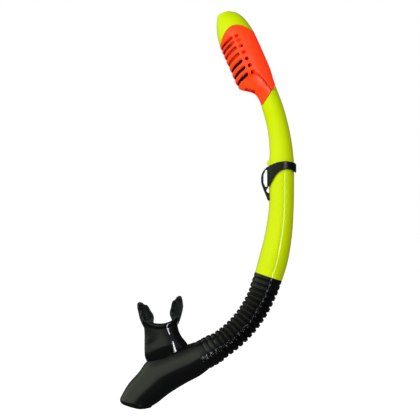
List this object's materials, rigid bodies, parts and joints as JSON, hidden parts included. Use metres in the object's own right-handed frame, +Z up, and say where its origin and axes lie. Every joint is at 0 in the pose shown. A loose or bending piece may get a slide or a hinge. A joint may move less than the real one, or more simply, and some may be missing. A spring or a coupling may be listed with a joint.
{
  "type": "snorkel",
  "caption": "J-shaped dry-top snorkel: slotted float-valve head, curved barrel with strap keeper, corrugated hose, purge chamber and bite mouthpiece",
  "frame": {"origin": "middle of the strap keeper's flat pad, where the mask strap bears", "axes": "+Z up the straight stretch of the barrel at the keeper, -X out of the pad, towards the mask and the mouthpiece, Y across the mirror plane"},
  "size_m": [0.1976, 0.0382, 0.4472],
  "materials": {
    "yellow_plastic": "glossy fluorescent yellow-green moulding",
    "orange_plastic": "satin fluorescent orange moulding",
    "black_gloss_plastic": "polished black moulding",
    "black_satin_plastic": "satin black moulding",
    "black_silicone": "soft black silicone with a dull gloss",
    "grey_plastic": "dull dark grey moulding",
    "stainless_steel": "ground stainless pin"
  },
  "bodies": {
    "keeper": {"strap_keeper": "black_satin_plastic"},
    "barrel": {"barrel": "yellow_plastic", "splash_cage": "orange_plastic", "top_cap": "yellow_plastic", "throat_tube": "orange_plastic", "hinge_pin": "stainless_steel"},
    "float": {"valve_float": "black_satin_plastic"},
    "flap": {"float_lever": "grey_plastic", "seal_flap": "black_silicone"},
    "hose": {"hose_nipple": "black_satin_plastic", "flex_hose": "black_silicone"},
    "chamber": {"chamber": "black_gloss_plastic", "mouthpiece": "black_silicone", "purge_seat": "black_satin_plastic", "purge_cover": "black_gloss_plastic"},
    "purge": {"purge_diaphragm": "black_silicone"}
  },
  "joints": [
    {"name": "keeper_slide", "type": "slide", "parent": "keeper", "child": "barrel", "axis": [0, 0, 1], "range_m": [0, 0.01]},
    {"name": "float_slide", "type": "slide", "parent": "barrel", "child": "float", "axis": [-0.3584, 0, 0.9336], "range_m": [0, 0.0044]},
    {"name": "flap_hinge", "type": "hinge", "parent": "barrel", "child": "flap", "pos_m": [-0.03186, 0, 0.14626], "axis": [0, 1, 0], "range_deg": [0, 28]},
    {"name": "hose_swivel", "type": "hinge", "parent": "barrel", "child": "hose", "pos_m": [0.00131, 0, -0.10923], "axis": [0.314, 0, 0.9494], "range_deg": [-90, 90]},
    {"name": "hose_bend", "type": "hinge", "parent": "hose", "child": "chamber", "pos_m": [-0.02615, 0, -0.16265], "axis": [0, 1, 0], "range_deg": [-35, 30], "stiffness_Nm_per_rad": 1.5, "springref_deg": 2.29, "deforming": ["flex_hose"]},
    {"name": "purge_slide", "type": "slide", "parent": "chamber", "child": "purge", "axis": [-0.2419, 0, -0.9703], "range_m": [0, 0.001], "stiffness_N_per_m": 15, "springref_m": -0.0003}
  ],
  "couplings": [
    {"joint": "flap_hinge", "follows": "float_slide", "rad_per_m": 111}
  ]
}
